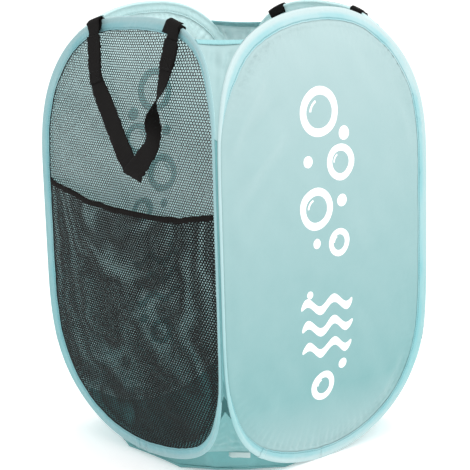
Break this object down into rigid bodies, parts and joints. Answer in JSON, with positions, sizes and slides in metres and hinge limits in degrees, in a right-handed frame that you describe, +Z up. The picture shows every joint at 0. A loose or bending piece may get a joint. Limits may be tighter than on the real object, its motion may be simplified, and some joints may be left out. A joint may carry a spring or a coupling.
{
  "type": "pop-up laundry hamper",
  "caption": "Folding laundry hamper: oval spring hoops in fabric casings, solid and mesh sides, open top, mesh pocket and webbing handles.",
  "frame": {"origin": "on the floor, at the middle of the square between the four corner fold axes, at the underside of the floor cloth", "axes": "+Z up; -Y is the front printed side, -X the left mesh side with the pocket, +X the right mesh side, +Y the back printed side"},
  "size_m": [0.4164, 0.3692, 0.5839],
  "materials": {
    "casing": "woven polyester binding",
    "fabric": "plain woven polyester",
    "fabric_panel": "plain woven polyester with a white screen-printed motif",
    "mesh": "open knitted polyester mesh",
    "pocket_mesh": "open knitted polyester mesh",
    "elastic": "ribbed elastic binding",
    "webbing": "woven polypropylene webbing",
    "label": "satin ribbon",
    "spring_wire": "drawn spring steel",
    "ferrule": "crimped"
  },
  "bodies": {
    "left_side": {"left_hoop_wire": "spring_wire", "left_hoop_ferrule": "ferrule", "left_hoop_casing": "casing", "left_mesh_panel": "mesh", "pocket_mesh": "pocket_mesh", "pocket_binding": "elastic", "left_handle_loop_1": "webbing", "left_handle_loop_2": "webbing", "front_left_corner_seam": "casing", "front_left_upper_gusset": "fabric", "front_left_gusset_hem": "casing", "front_left_lower_gusset": "fabric", "back_left_corner_seam": "casing", "back_left_upper_gusset": "fabric", "back_left_gusset_hem": "casing", "back_left_lower_gusset": "fabric", "bottom_panel": "fabric", "care_label": "label"},
    "front_side": {"front_hoop_wire": "spring_wire", "front_hoop_ferrule": "ferrule", "front_hoop_casing": "casing", "front_fabric_panel": "fabric_panel", "front_right_corner_seam": "casing", "front_right_upper_gusset": "fabric", "front_right_gusset_hem": "casing", "front_right_lower_gusset": "fabric"},
    "right_side": {"right_hoop_wire": "spring_wire", "right_hoop_ferrule": "ferrule", "right_hoop_casing": "casing", "right_mesh_panel": "mesh", "right_handle_loop_1": "webbing", "right_handle_loop_2": "webbing"},
    "back_side": {"back_hoop_wire": "spring_wire", "back_hoop_ferrule": "ferrule", "back_hoop_casing": "casing", "back_fabric_panel": "fabric_panel"},
    "back_right_corner": {"back_right_corner_seam": "casing", "back_right_upper_gusset": "fabric", "back_right_gusset_hem": "casing", "back_right_lower_gusset": "fabric"},
    "left_handle": {"left_handle_strap": "webbing"},
    "right_handle": {"right_handle_strap": "webbing"}
  },
  "joints": [
    {"name": "front_fold", "type": "hinge", "parent": "left_side", "child": "front_side", "pos_m": [-0.1795, -0.1795, 0.29], "axis": [0, 0, 1], "range_deg": [-66, 48], "stiffness_Nm_per_rad": 0.6, "deforming": ["front_left_corner_seam", "front_left_upper_gusset", "front_left_gusset_hem", "front_left_lower_gusset", "bottom_panel", "care_label"]},
    {"name": "back_fold", "type": "hinge", "parent": "left_side", "child": "back_side", "pos_m": [-0.1795, 0.1795, 0.29], "axis": [0, 0, 1], "range_deg": [-66, 48], "deforming": ["back_left_corner_seam", "back_left_upper_gusset", "back_left_gusset_hem", "back_left_lower_gusset"]},
    {"name": "right_fold", "type": "hinge", "parent": "front_side", "child": "right_side", "pos_m": [0.1795, -0.1795, 0.29], "axis": [0, 0, 1], "range_deg": [-48, 66], "deforming": ["front_right_corner_seam", "front_right_upper_gusset", "front_right_gusset_hem", "front_right_lower_gusset"]},
    {"name": "back_right_fold", "type": "hinge", "parent": "right_side", "child": "back_right_corner", "pos_m": [0.1795, 0.1795, 0.29], "axis": [0, 0, 1], "range_deg": [-66, 48], "deforming": ["back_right_corner_seam", "back_right_upper_gusset", "back_right_gusset_hem", "back_right_lower_gusset"]},
    {"name": "left_handle_swing", "type": "hinge", "parent": "left_side", "child": "left_handle", "pos_m": [-0.16428, -0.0068, 0.57241], "axis": [0.0104, 0.9999, -0.0117], "range_deg": [0, 175]},
    {"name": "right_handle_swing", "type": "hinge", "parent": "right_side", "child": "right_handle", "pos_m": [0.18632, 0.022, 0.56735], "axis": [-0.0076, -0.9999, 0.01], "range_deg": [0, 175]}
  ],
  "couplings": [
    {"joint": "back_fold", "follows": "front_fold", "ratio": 1},
    {"joint": "right_fold", "follows": "front_fold", "ratio": -1},
    {"joint": "back_right_fold", "follows": "front_fold", "ratio": 1}
  ]
}
